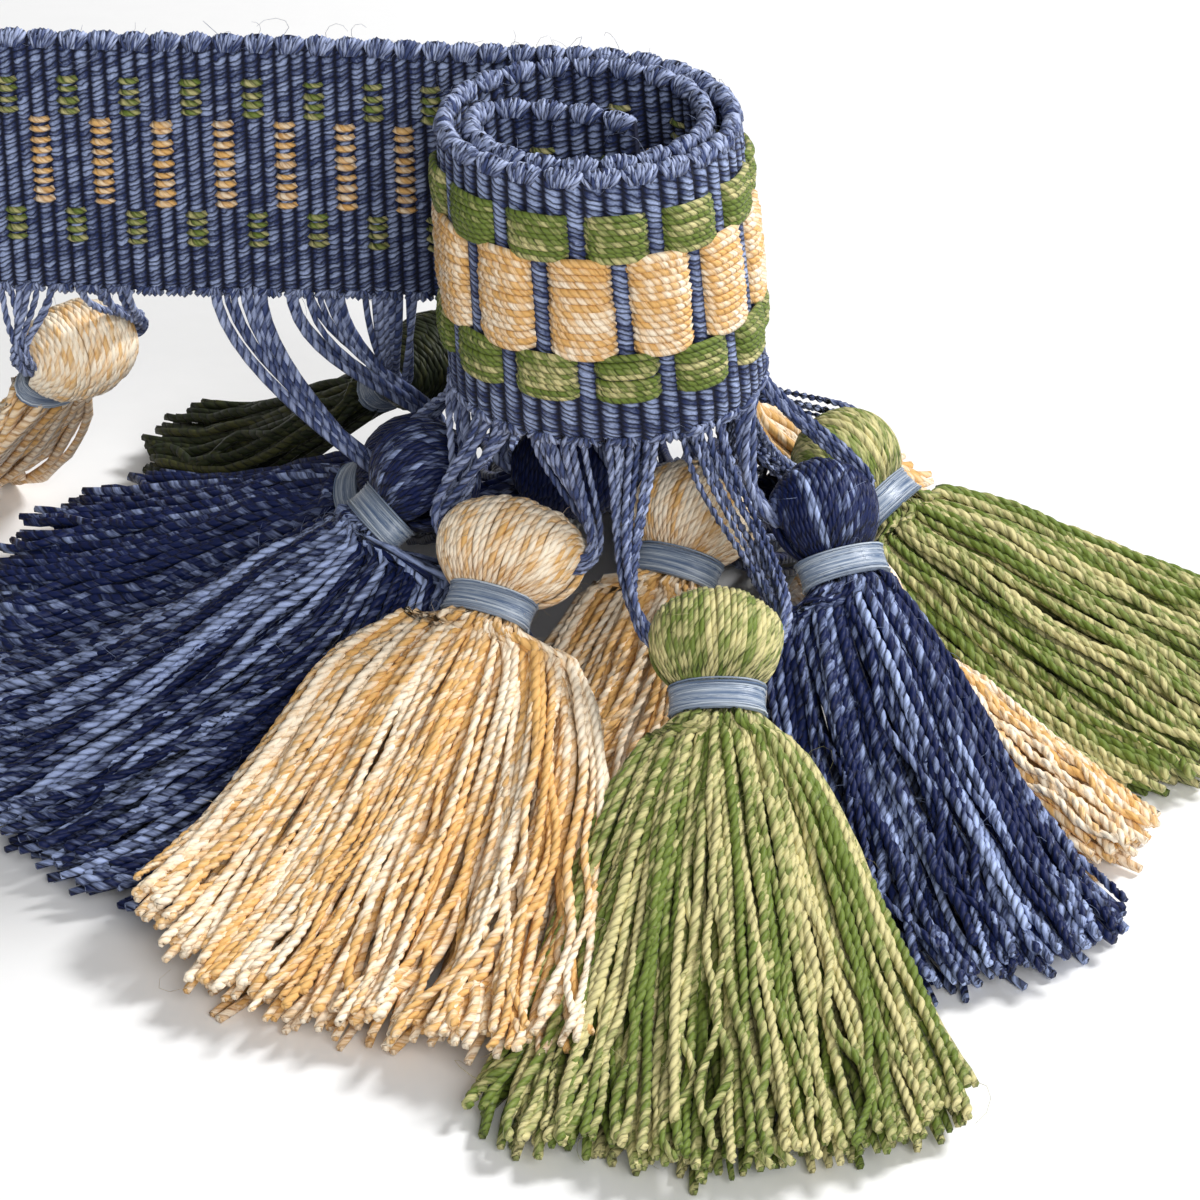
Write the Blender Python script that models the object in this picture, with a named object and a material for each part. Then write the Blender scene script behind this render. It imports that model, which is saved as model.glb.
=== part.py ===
"""A hanging tassel fringe, rolled up and stood on its tassels, in metres with +Z up.

A ribbed band stands on edge: a straight tail, two turns of a roll and a loose inner end.
Cord loops drop from its lower edge, and a tassel with a bound neck hangs in each.
"""

import math

import bmesh
import bpy
import numpy as np
from mathutils import Vector

MM = 0.001

# Band sizes in millimetres
BAND_BOTTOM_Z = 38.0
BAND_HEIGHT = 28.0
RIB_PITCH = 1.89
VALLEY_HALF_THICKNESS = 0.45
RIB_RELIEF = 0.3
BLOCK_RELIEF = 0.22
RIBS_PER_SCALLOP = 2
TOP_SCALLOP = 0.5
BOTTOM_SCALLOP = 0.35
TOP_LEAN_X = -1.9
TOP_LEAN_Y = -2.8
TOP_DRAWN_IN = 0.07
LEAN_STARTS_X = -40.0
LEAN_FULL_X = -8.0

# Heights of the rows across the band's face side, as fractions of the band's height
ROW_FRACTIONS = (0.0, 0.17, 0.26, 0.53, 0.79, 0.87, 1.0)
GREEN_ROWS = (2, 4)
GOLD_ROWS = (3,)
RIBS_PER_REPEAT = 4
# The face side lies in the open, with its raised blocks, up to this many ribs along
OPEN_RIBS = 94

# The path of the band's lower edge seen from above, one row for each bend, x and y in millimetres
PATH = (
    # tail
    (-76.0, 19.2),
    (-60.0, 18.3),
    (-45.0, 17.2),
    (-30.0, 16.6),
    (-17.0, 15.9),
    (-8.0, 15.3),
    # outer turn
    (0.0, 14.7),
    (5.6, 13.3),
    (10.3, 10.1),
    (13.6, 4.9),
    (14.5, -0.5),
    (13.1, -6.3),
    (9.1, -11.3),
    (3.5, -14.0),
    (-2.6, -14.3),
    (-8.4, -11.9),
    (-12.7, -7.2),
    (-14.3, -1.2),
    (-13.0, 4.6),
    (-9.6, 9.0),
    # second turn
    (-4.4, 11.7),
    (1.3, 12.0),
    (6.7, 10.1),
    (10.3, 6.2),
    (11.8, 1.0),
    (11.1, -4.3),
    (7.9, -8.7),
    (3.0, -11.3),
    (-2.6, -11.6),
    (-7.5, -9.3),
    (-10.8, -5.2),
    (-11.4, -0.6),
    # loose inner end
    (-8.9, 1.9),
    (-4.4, 1.6),
    (0.6, 0.3),
    (4.8, -2.3),
)
PATH_SAMPLES_PER_BEND = 24

# Tassel sizes in millimetres
HEAD_HALF_WIDTH = 6.3
HEAD_HALF_DEPTH = 4.9
NECK_HALF_WIDTH = 3.6
NECK_HALF_DEPTH = 1.7
ROOT_HALF_WIDTH = 4.6
ROOT_HALF_DEPTH = 2.3
ROOT_FROM_HEAD = 8.4
SKIRT_DEPTH = 7.4
SKIRT_FLARE = 0.7
EDGE_SHORTER = 0.1
LOCK_COLUMNS = 6
LOCK_ROWS = 3
LEVEL_SHARE = 0.8
LENGTH_VARIATION = 0.07

# Sections of the head and neck: distance from the head's middle, half width, half depth
HEAD_SECTIONS = (
    (-4.3, 0.48 * HEAD_HALF_WIDTH, 0.48 * HEAD_HALF_DEPTH),
    (-3.0, 0.8 * HEAD_HALF_WIDTH, 0.8 * HEAD_HALF_DEPTH),
    (-1.35, HEAD_HALF_WIDTH, HEAD_HALF_DEPTH),
    (1.35, HEAD_HALF_WIDTH, HEAD_HALF_DEPTH),
    (3.0, 0.8 * HEAD_HALF_WIDTH, 0.8 * HEAD_HALF_DEPTH),
    (4.0, NECK_HALF_WIDTH, NECK_HALF_DEPTH),
    (7.4, NECK_HALF_WIDTH, NECK_HALF_DEPTH),
    (ROOT_FROM_HEAD, ROOT_HALF_WIDTH, ROOT_HALF_DEPTH),
)
# The cord loop passes through the head between these two sections
TUNNEL_SECTIONS = (2, 3)

# Binding sizes in millimetres
BINDING_START = 4.5
BINDING_END = 7.0
BINDING_CLEARANCE = 0.5
BINDING_THICKNESS = 0.6
BINDING_SIDES = 14

# Cord loop sizes in millimetres
RIBS_TO_LEG = 2
LEG_TOP_GAP = 0.3
LEG_TOP_HALF_WIDTH = 2.55
LEG_TOP_HALF_DEPTH = 0.7
CORD_HALF_SIZE = 0.9
CORD_SIDES = 6

# Tassels: colour, head x, y, z, skirt end x, y, half width at the end, slope, steps, rib on the band
TASSELS = {
    "tassel_front_green": ("green", 10.0, -27.0, 24.0, 10.9, -79.2, 23.5, 38, 4, 61),
    "tassel_front_gold": ("gold", -9.0, -13.5, 26.0, -29.7, -56.8, 22.0, 38, 4, 69),
    "tassel_left_navy": ("navy", -17.5, 0.5, 26.5, -61.0, -18.5, 25.0, 38, 4, 77),
    "tassel_right_navy": ("navy", 21.5, -7.0, 26.0, 38.2, -49.0, 13.5, 40, 4, 53),
    "tassel_right_green": ("green", 24.0, 21.0, 17.0, 67.0, -5.6, 21.0, 34, 4, 46),
    "tassel_inner_gold": ("gold", 6.2, -3.5, 24.5, -1.0, -37.0, 5.5, 40, 3, 124),
    "tassel_inner_navy": ("navy", -3.2, 5.5, 24.5, -8.0, 40.0, 13.0, 36, 3, 86),
    "tassel_side_gold": ("gold", 23.2, -0.2, 12.5, 50.0, -29.0, 5.5, 28, 3, 94),
    "tassel_rear_gold": ("gold", 7.0, 28.0, 24.0, 31.5, 45.0, 9.0, 40, 3, 38),
    "tassel_tail_green": ("dark_green", -18.0, 33.0, 22.0, -47.0, 54.0, 9.0, 36, 3, 31),
    "tassel_tail_navy": ("navy", -19.5, 14.0, 20.0, -62.0, 25.0, 18.0, 32, 3, 23),
    "tassel_tail_gold": ("gold", -53.0, 23.0, 28.5, -74.0, 48.0, 9.0, 48, 3, 12),
}

# Shares of the skirt's run at which the locks bend before their ends, by the number of steps
STEP_SHARES = {4: (0.22, 0.5, 0.8), 3: (0.35, 0.8)}

# Where the middle of the finished part lies from the roll's middle, in millimetres
MIDDLE_X = -2.8
MIDDLE_Y = -11.1

# Base colour and roughness of each material
COLOURS = {
    "band": ((0.17, 0.22, 0.4), 0.9),
    "cord": ((0.17, 0.22, 0.4), 0.9),
    "navy": ((0.06, 0.08, 0.2), 0.9),
    "gold": ((0.75, 0.47, 0.17), 0.85),
    "green": ((0.2, 0.28, 0.06), 0.85),
    "dark_green": ((0.08, 0.12, 0.04), 0.9),
    "binding": ((0.22, 0.35, 0.45), 0.4),
}


def clear_scene():
    for item in list(bpy.data.objects):
        bpy.data.objects.remove(item)


def make_material(name, colour_name):
    colour, roughness = COLOURS[colour_name]
    material = bpy.data.materials.new(name)
    material.use_nodes = True
    shader = material.node_tree.nodes["Principled BSDF"]
    shader.inputs["Base Color"].default_value = (*colour, 1.0)
    shader.inputs["Roughness"].default_value = roughness
    shader.inputs["Metallic"].default_value = 0.0
    material.diffuse_color = (*colour, 1.0)
    return material


def add_object(name, points, faces, colour_name, smooth):
    shift = Vector((MIDDLE_X, MIDDLE_Y, 0.0))
    mesh = bpy.data.meshes.new(name)
    mesh.from_pydata([(Vector(p) - shift) * MM for p in points], [], faces)
    shape = bmesh.new()
    shape.from_mesh(mesh)
    bmesh.ops.recalc_face_normals(shape, faces=shape.faces)
    shape.to_mesh(mesh)
    shape.free()
    if smooth:
        mesh.shade_smooth()
    item = bpy.data.objects.new(name, mesh)
    item.data.materials.append(make_material(name, colour_name))
    bpy.context.collection.objects.link(item)
    return item


def smooth_step(low, high, value):
    share = min(max((value - low) / (high - low), 0.0), 1.0)
    return share * share * (3.0 - 2.0 * share)


def band_path():
    """Points along the band's lower edge, two for each rib, with the sideways direction at each."""
    bends = np.array(PATH)
    ends = (2 * bends[0] - bends[1], 2 * bends[-1] - bends[-2])
    held = np.vstack([ends[0], bends, ends[1]])
    fine = []
    for i in range(1, len(held) - 2):
        before, start, end, after = held[i - 1 : i + 3]
        for j in range(PATH_SAMPLES_PER_BEND):
            t = j / PATH_SAMPLES_PER_BEND
            fine.append(
                0.5
                * (
                    2 * start
                    + (end - before) * t
                    + (2 * before - 5 * start + 4 * end - after) * t**2
                    + (3 * start - before - 3 * end + after) * t**3
                )
            )
    fine.append(bends[-1])
    fine = np.array(fine)
    run = np.concatenate([[0.0], np.cumsum(np.linalg.norm(np.diff(fine, axis=0), axis=1))])
    count = 2 * int(run[-1] / RIB_PITCH)
    at = np.arange(count + 1) * RIB_PITCH / 2
    points = np.stack([np.interp(at, run, fine[:, 0]), np.interp(at, run, fine[:, 1])], axis=1)
    along = np.gradient(points, axis=0)
    along /= np.linalg.norm(along, axis=1)[:, None]
    sideways = np.stack([-along[:, 1], along[:, 0]], axis=1)
    return points, along, sideways


def band_point(point, height_share, offset, sideways, index):
    """One point of the band's surface, leaning forward and raised along its scalloped edges."""
    lean_share = smooth_step(LEAN_STARTS_X, LEAN_FULL_X, point[0])
    step = index % (2 * RIBS_PER_SCALLOP)
    bump = math.sin(math.pi * step / (2 * RIBS_PER_SCALLOP))
    z = BAND_BOTTOM_Z + height_share * BAND_HEIGHT
    if height_share == 1.0:
        z += TOP_SCALLOP * bump
    if height_share == 0.0:
        z += BOTTOM_SCALLOP * (1.0 - bump)
    x = point[0] + (TOP_LEAN_X - TOP_DRAWN_IN * point[0]) * lean_share * height_share
    y = point[1] + (TOP_LEAN_Y - TOP_DRAWN_IN * point[1] * lean_share) * height_share
    return (x + offset * sideways[0], y + offset * sideways[1], z)


def in_block(index, row):
    """Whether a float block passes over this point of the face side."""
    place = (index / 2) % RIBS_PER_REPEAT
    if row in GREEN_ROWS:
        return 0.25 < place < 2.75
    if row in GOLD_ROWS:
        return place > 2.25 or place < 0.75
    return False


def build_band():
    """The ribbed band as one closed wall with raised ribs on both sides and blocks on the face."""
    points, along, sideways = band_path()
    vertices = []
    face_side = []
    back_side = []
    for index, point in enumerate(points):
        ridge = RIB_RELIEF if index % 2 else 0.0
        column = []
        rows = range(len(ROW_FRACTIONS))
        if index > 2 * OPEN_RIBS:
            rows = (0, len(ROW_FRACTIONS) - 1)
        for row in rows:
            share = ROW_FRACTIONS[row]
            offset = VALLEY_HALF_THICKNESS + ridge
            if in_block(index, row):
                offset = VALLEY_HALF_THICKNESS + RIB_RELIEF + BLOCK_RELIEF
            column.append(len(vertices))
            vertices.append(band_point(point, share, offset, sideways[index], index))
        face_side.append(column)
        pair = []
        for share in (0.0, 1.0):
            offset = -VALLEY_HALF_THICKNESS - ridge
            pair.append(len(vertices))
            vertices.append(band_point(point, share, offset, sideways[index], index))
        back_side.append(pair)
    faces = []
    for i in range(len(points) - 1):
        here, there = face_side[i], face_side[i + 1]
        back_here, back_there = back_side[i], back_side[i + 1]
        if len(here) == len(there):
            for row in range(len(here) - 1):
                faces.append((here[row], there[row], there[row + 1], here[row + 1]))
        else:
            faces.append((here[0], there[0], there[1], *reversed(here[1:])))
        faces.append((back_here[0], back_here[1], back_there[1], back_there[0]))
        faces.append((here[-1], there[-1], back_there[1], back_here[1]))
        faces.append((here[0], back_here[0], back_there[0], there[0]))
    faces.append((*face_side[0], back_side[0][1], back_side[0][0]))
    faces.append((*reversed(face_side[-1]), back_side[-1][0], back_side[-1][1]))
    add_object("band", vertices, faces, "band", False)
    return points, along


def grid_point(u, v):
    """A point of a square grid drawn in to an oval outline, both from -1 to 1."""
    return (u * math.sqrt(1.0 - 0.4 * v * v), v * math.sqrt(1.0 - 0.4 * u * u))


def outline_places():
    """The places around the edge of the lock grid, in order."""
    places = [(i, 0) for i in range(LOCK_COLUMNS)]
    places += [(LOCK_COLUMNS, j) for j in range(LOCK_ROWS)]
    places += [(i, LOCK_ROWS) for i in range(LOCK_COLUMNS, 0, -1)]
    places += [(0, j) for j in range(LOCK_ROWS, 0, -1)]
    return places


class Tassel:
    """The directions and sizes of one tassel, worked out from its row of the table."""

    def __init__(self, row):
        self.colour = row[0]
        self.head = Vector(row[1:4])
        end = Vector((row[4], row[5], 0.0))
        self.end_half_width = row[6]
        slope = math.radians(row[7])
        self.shares = STEP_SHARES[row[8]]
        self.rib = row[9]
        level = Vector((end.x - self.head.x, end.y - self.head.y, 0.0))
        self.out = level.normalized()
        self.side = Vector((-self.out.y, self.out.x, 0.0))
        self.down_axis = self.out * math.cos(slope) - Vector((0.0, 0.0, math.sin(slope)))
        self.lift = self.down_axis.cross(self.side)
        self.root = self.head + self.down_axis * ROOT_FROM_HEAD
        self.run = level.length - ROOT_FROM_HEAD * math.cos(slope)
        self.root_bottom = self.root.z - ROOT_HALF_DEPTH / math.cos(slope)

    def section(self, distance, half_width, half_depth, u, v):
        """A point of a cross-section of the head, neck or root."""
        a, b = grid_point(u, v)
        middle = self.head + self.down_axis * distance
        return middle + self.side * (a * half_width) + self.lift * (b * half_depth)

    def skirt(self, share, u, height):
        """A point of the skirt, fanned out, shorter at its edges and settling level on the floor."""
        reach = self.run * share
        extra_width = self.end_half_width - ROOT_HALF_WIDTH
        back = self.run * ROOT_HALF_WIDTH / extra_width
        half_width = ROOT_HALF_WIDTH + extra_width * min(share, 1.0) ** SKIRT_FLARE
        angle = u * math.asin(half_width / (back + reach))
        level_share = min(share / LEVEL_SHARE, 1.0)
        bottom = self.root_bottom * (1.0 - level_share) ** 1.5
        depth = SKIRT_DEPTH * (0.7 + 0.3 * min(share * 4.0, 1.0)) * (1.0 - 0.3 * u * u)
        radius = back + reach * (1.0 - EDGE_SHORTER * u * u)
        place = self.root - self.out * back
        place = place + self.out * (radius * math.cos(angle))
        place = place + self.side * (radius * math.sin(angle))
        return Vector((place.x, place.y, bottom + depth * height))


def lock_span(index, count, fill, from_edge):
    """Where one lock begins and ends across its cell, as shares of the whole."""
    gap = (1.0 - fill) / 2
    low = (index + gap) / count
    high = (index + 1 - gap) / count
    if from_edge and index == 0:
        low = 0.0
    return low, high


def build_tassel_body(name, tassel, number):
    """The head and neck as one closed body, with the skirt's locks growing out of its end."""
    vertices = []
    faces = []
    places = outline_places()
    rings = []
    for distance, half_width, half_depth in HEAD_SECTIONS:
        ring = []
        for i, j in places:
            u = 2.0 * i / LOCK_COLUMNS - 1.0
            v = 2.0 * j / LOCK_ROWS - 1.0
            ring.append(len(vertices))
            vertices.append(tassel.section(distance, half_width, half_depth, u, v))
        rings.append(ring)
    crown = len(vertices)
    vertices.append(tassel.head - tassel.down_axis * HEAD_HALF_DEPTH)
    count = len(places)
    tunnel_sides = (places.index((LOCK_COLUMNS, 1)), places.index((0, 2)))
    for k in range(count):
        after = (k + 1) % count
        faces.append((crown, rings[0][k], rings[0][after]))
        for section, (ring, next_ring) in enumerate(zip(rings, rings[1:])):
            if section == TUNNEL_SECTIONS[0] and k in tunnel_sides:
                continue
            faces.append((ring[k], next_ring[k], next_ring[after], ring[after]))
    right, left = tunnel_sides
    ring, next_ring = rings[TUNNEL_SECTIONS[0]], rings[TUNNEL_SECTIONS[1]]
    right_mouth = (ring[right], ring[right + 1], next_ring[right + 1], next_ring[right])
    left_mouth = (ring[left + 1], ring[left], next_ring[left], next_ring[left + 1])
    for k in range(4):
        after = (k + 1) % 4
        faces.append((right_mouth[k], right_mouth[after], left_mouth[after], left_mouth[k]))
    grid = {place: rings[-1][k] for k, place in enumerate(places)}
    for i in range(1, LOCK_COLUMNS):
        for j in range(1, LOCK_ROWS):
            u = 2.0 * i / LOCK_COLUMNS - 1.0
            v = 2.0 * j / LOCK_ROWS - 1.0
            grid[(i, j)] = len(vertices)
            point = tassel.section(ROOT_FROM_HEAD, ROOT_HALF_WIDTH, ROOT_HALF_DEPTH, u, v)
            vertices.append(point)
    for i in range(LOCK_COLUMNS):
        for j in range(LOCK_ROWS):
            corners = [grid[(i, j)], grid[(i + 1, j)], grid[(i + 1, j + 1)], grid[(i, j + 1)]]
            middle = sum((Vector(vertices[c]) for c in corners), Vector()) / 4
            before = corners
            loop = []
            for c in corners:
                loop.append(len(vertices))
                vertices.append(middle + (Vector(vertices[c]) - middle) * 0.74)
            for k in range(4):
                after = (k + 1) % 4
                faces.append((before[k], before[after], loop[after], loop[k]))
            chance = math.sin(12.9898 * (i + 1) + 78.233 * (j + 1) + 37.719 * number) * 43758.5453
            chance -= math.floor(chance)
            end_share = 1.0 + LENGTH_VARIATION * (2.0 * chance - 1.0)
            before = loop
            for share in (*tassel.shares, end_share):
                fill = 0.72 if share == end_share else 0.84
                left, right = lock_span(i, LOCK_COLUMNS, fill, False)
                low, high = lock_span(j, LOCK_ROWS, fill, True)
                loop = []
                for across, up in ((left, low), (right, low), (right, high), (left, high)):
                    loop.append(len(vertices))
                    vertices.append(tassel.skirt(share, 2.0 * across - 1.0, up))
                for k in range(4):
                    after = (k + 1) % 4
                    faces.append((before[k], before[after], loop[after], loop[k]))
                before = loop
            faces.append(tuple(before))
    add_object(name, vertices, faces, tassel.colour, False)


def build_binding(name, tassel):
    """The flat binding wound round the neck, standing clear of it."""
    sizes = []
    for extra in (BINDING_CLEARANCE, BINDING_CLEARANCE + BINDING_THICKNESS):
        sizes.append((NECK_HALF_WIDTH + extra, NECK_HALF_DEPTH + extra))
    profile = (
        (BINDING_START, sizes[0]),
        (BINDING_START, sizes[1]),
        (BINDING_END, sizes[1]),
        (BINDING_END, sizes[0]),
    )
    vertices = []
    for distance, (half_width, half_depth) in profile:
        for k in range(BINDING_SIDES):
            angle = 2.0 * math.pi * k / BINDING_SIDES
            point = tassel.head + tassel.down_axis * distance
            point = point + tassel.side * (half_width * math.cos(angle))
            point = point + tassel.lift * (half_depth * math.sin(angle))
            vertices.append(point)
    faces = []
    for part in range(4):
        start = part * BINDING_SIDES
        next_start = ((part + 1) % 4) * BINDING_SIDES
        for k in range(BINDING_SIDES):
            after = (k + 1) % BINDING_SIDES
            faces.append((start + k, start + after, next_start + after, next_start + k))
    add_object(name, vertices, faces, "binding", True)


def leg_stations(tassel, top, along, sign):
    """Points down one leg of a cord loop, from the band's edge to the head's side."""
    side_point = tassel.head + tassel.side * (sign * (HEAD_HALF_WIDTH + 1.3))
    drop = (top - side_point).length
    hold_top = top - Vector((0.0, 0.0, 0.4 * drop))
    hold_side = side_point + tassel.side * (sign * 1.6) - tassel.down_axis * (0.28 * drop)
    stations = []
    for t in (0.0, 0.3, 0.6, 0.85, 1.0):
        point = top * (1 - t) ** 3
        point = point + hold_top * (3 * t * (1 - t) ** 2)
        point = point + hold_side * (3 * t * t * (1 - t))
        point = point + side_point * t**3
        narrow = smooth_step(0.0, 0.8, t)
        wide = LEG_TOP_HALF_WIDTH + (CORD_HALF_SIZE - LEG_TOP_HALF_WIDTH) * narrow
        deep = LEG_TOP_HALF_DEPTH + (CORD_HALF_SIZE - LEG_TOP_HALF_DEPTH) * narrow
        toward = along * (1 - t) + tassel.down_axis * t
        stations.append((point, wide, deep, toward))
    return stations


def build_loop(name, tassel, points, along):
    """The cord loop: down from the band's edge, through the head and up to the edge again."""
    place = 2 * tassel.rib
    step = 2 * RIBS_TO_LEG
    ends = []
    for shift in (-step, step):
        index = min(max(place + shift, 0), len(points) - 1)
        top = Vector((*points[index], BAND_BOTTOM_Z - LEG_TOP_GAP))
        ends.append((top, Vector((*along[index], 0.0))))
    first_side = (ends[0][0] - ends[1][0]).dot(tassel.side)
    sign = 1.0 if first_side > 0 else -1.0
    stations = leg_stations(tassel, ends[0][0], ends[0][1], sign)
    other = leg_stations(tassel, ends[1][0], ends[1][1], -sign)
    for point, wide, deep, toward in reversed(other):
        stations.append((point, wide, deep, toward))
    vertices = []
    count = len(stations)
    turned = stations[0][3]
    for k, (point, wide, deep, toward) in enumerate(stations):
        before = stations[max(k - 1, 0)][0]
        after = stations[min(k + 1, count - 1)][0]
        heading = (point - before).normalized() + (after - point).normalized()
        if k in (0, count - 1):
            heading = Vector((0.0, 0.0, -1.0 if k == 0 else 1.0))
        heading.normalize()
        across = toward - heading * toward.dot(heading)
        across.normalize()
        if across.dot(turned) < 0:
            across = -across
        turned = across
        thick = heading.cross(across)
        for side in range(CORD_SIDES):
            angle = 2.0 * math.pi * side / CORD_SIDES
            corner = point + across * (wide * math.cos(angle))
            vertices.append(corner + thick * (deep * math.sin(angle)))
    faces = [tuple(range(CORD_SIDES)), tuple(range(len(vertices) - CORD_SIDES, len(vertices)))]
    for k in range(count - 1):
        start = k * CORD_SIDES
        for side in range(CORD_SIDES):
            after = (side + 1) % CORD_SIDES
            next_start = start + CORD_SIDES
            faces.append((start + side, start + after, next_start + after, next_start + side))
    add_object(name, vertices, faces, "cord", False)


clear_scene()
path_points, path_along = build_band()
for number, (tassel_name, table_row) in enumerate(TASSELS.items()):
    tassel = Tassel(table_row)
    build_tassel_body(tassel_name, tassel, number)
    build_binding(tassel_name.replace("tassel", "binding"), tassel)
    build_loop(tassel_name.replace("tassel", "loop"), tassel, path_points, path_along)
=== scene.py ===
"""A hanging tassel fringe, rolled up and stood on its tassels, dressed in its yarns.

A ribbed band stands on edge: a straight tail, two turns of a roll and a loose inner end.
Blue cords drop from its lower edge, and each loop of them carries a bound yarn tassel.
Lengths in this file are millimetres from the roll's middle, until a piece is made in metres.
"""

import math

import bpy
import numpy as np
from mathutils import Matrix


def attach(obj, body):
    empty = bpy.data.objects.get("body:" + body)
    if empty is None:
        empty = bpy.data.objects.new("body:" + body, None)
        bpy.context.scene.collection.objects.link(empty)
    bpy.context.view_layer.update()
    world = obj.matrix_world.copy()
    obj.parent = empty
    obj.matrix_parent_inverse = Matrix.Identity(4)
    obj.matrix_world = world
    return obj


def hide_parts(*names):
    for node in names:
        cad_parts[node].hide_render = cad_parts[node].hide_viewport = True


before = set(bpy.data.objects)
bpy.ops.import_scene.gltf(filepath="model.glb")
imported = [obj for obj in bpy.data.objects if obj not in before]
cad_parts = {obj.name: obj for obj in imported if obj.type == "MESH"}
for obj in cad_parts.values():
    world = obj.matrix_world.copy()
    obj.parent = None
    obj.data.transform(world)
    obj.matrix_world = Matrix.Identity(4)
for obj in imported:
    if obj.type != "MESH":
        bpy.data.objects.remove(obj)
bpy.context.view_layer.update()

# The heading: a narrow band woven of blue two-ply cord packed hard over stout ribs.
# Its two edges are scalloped, one scallop to two ribs, where the cord turns back.
# It keeps the roll that it was wound into on its card, and stands on its lower edge.

BAND_BOTTOM = 38.0
BAND_HEIGHT = 28.0
# The straight tail is packed closer than the roll, whose ribs are fanned apart
TAIL_RUN = 76.8
TAIL_RIBS = 52
ROLL_RIB_PITCH = 1.887
RIB_COUNT = 138
BAND_HALF_THICKNESS = 0.4
RIB_RISE = 0.42
TOP_SCALLOP = 0.6
BOTTOM_SCALLOP = 0.4
# The upper edge leans sideways in the roll alone, and forward all along the band. Towards the
# roll the lean grows between two places in x
ROLL_LEAN = (-1.9, -2.8)
ROLL_DRAWN_IN = 0.07
ROLL_STARTS = (-40.0, -8.0)
# The middle of the part's overall box, which is where its frame stands
PART_MIDDLE = np.array([-2.8, -11.1, 0.0])

# The lower edge, seen from above
BAND_BENDS = np.array([
    # tail
    (-76.0, 19.2), (-60.0, 18.3), (-45.0, 17.2), (-30.0, 16.6), (-17.0, 15.9), (-8.0, 15.3),
    # outer turn
    (0.0, 14.7), (5.6, 13.3), (10.3, 10.1), (13.6, 4.9), (14.5, -0.5), (13.1, -6.3), (9.1, -11.3),
    (3.5, -14.0), (-2.6, -14.3), (-8.4, -11.9), (-12.7, -7.2), (-14.3, -1.2), (-13.0, 4.6), (-9.6, 9.0),
    # second turn
    (-4.4, 11.7), (1.3, 12.0), (6.7, 10.1), (10.3, 6.2), (11.8, 1.0), (11.1, -4.3), (7.9, -8.7),
    (3.0, -11.3), (-2.6, -11.6), (-7.5, -9.3), (-10.8, -5.2), (-11.4, -0.6),
    # loose inner end
    (-8.9, 1.9), (-4.4, 1.6), (0.6, 0.3), (4.8, -2.3),
])


def smooth_step(low, high, value):
    """0 below low and 1 above high, with t squared times (3 - 2t) between them."""
    t = np.clip((value - low) / (high - low), 0.0, 1.0)
    return t * t * (3.0 - 2.0 * t)


def unit(vectors):
    """Each vector divided by its own length."""
    return vectors / np.linalg.norm(vectors, axis=-1, keepdims=True)


def abreast(*values):
    """Arrays whose shapes fit each other, side by side in a new last axis."""
    return np.stack(np.broadcast_arrays(*values), axis=-1)


def run_of(lines):
    """The length along each line so far, at each of its points."""
    stretches = np.linalg.norm(np.diff(lines, axis=-2), axis=-1)
    return np.cumsum(np.insert(stretches, 0, 0.0, axis=-1), axis=-1)


def run_along(bends, samples):
    """A line through bends: each stretch is the cubic that leaves one bend and meets the next
    in the direction of their neighbours on both sides, half their distance apart."""
    held = np.vstack([2 * bends[0] - bends[1], bends, 2 * bends[-1] - bends[-2]])
    before, start, end, after = held[:-3, None], held[1:-2, None], held[2:-1, None], held[3:, None]
    t = (np.arange(samples) / samples)[None, :, None]
    line = 2 * start + (end - before) * t
    line = line + (2 * before - 5 * start + 4 * end - after) * t**2
    line = line + (3 * start - before - 3 * end + after) * t**3
    return np.vstack([0.5 * line.reshape(-1, bends.shape[1]), bends[-1]])


edge_line = run_along(BAND_BENDS, 24)
edge_run = run_of(edge_line)
edge_heading = unit(np.gradient(edge_line, axis=0))


def rib_run(ribs):
    """How far along the band a rib lies: one even pitch on the tail, another on the roll."""
    return np.where(
        ribs < TAIL_RIBS, ribs * (TAIL_RUN / TAIL_RIBS), TAIL_RUN + (ribs - TAIL_RIBS) * ROLL_RIB_PITCH
    )


def at_run(run, table):
    """The two columns of a table of the edge's points, read off at a run along the edge."""
    return (np.interp(run, edge_run, table[:, k]) for k in (0, 1))


def band_place(run, share, proud):
    """A place on the band. The run along gives the point on its lower edge, share is the way up,
    and proud is the distance out from its middle, to the left of the run. The upper edge leans,
    and in the roll it is also drawn in by a share of its distance from the middle."""
    x, y = at_run(run, edge_line)
    heading_x, heading_y = at_run(run, edge_heading)
    lean = smooth_step(*ROLL_STARTS, x)
    place_x = x + (ROLL_LEAN[0] - ROLL_DRAWN_IN * x) * lean * share - proud * heading_y
    place_y = y + (ROLL_LEAN[1] - ROLL_DRAWN_IN * y * lean) * share + proud * heading_x
    return abreast(place_x, place_y, BAND_BOTTOM + BAND_HEIGHT * share)


def placed(name, data):
    """A new object of this mesh, lamp or camera, linked into the scene."""
    thing = bpy.data.objects.new(name, data)
    bpy.context.collection.objects.link(thing)
    return thing


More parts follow.
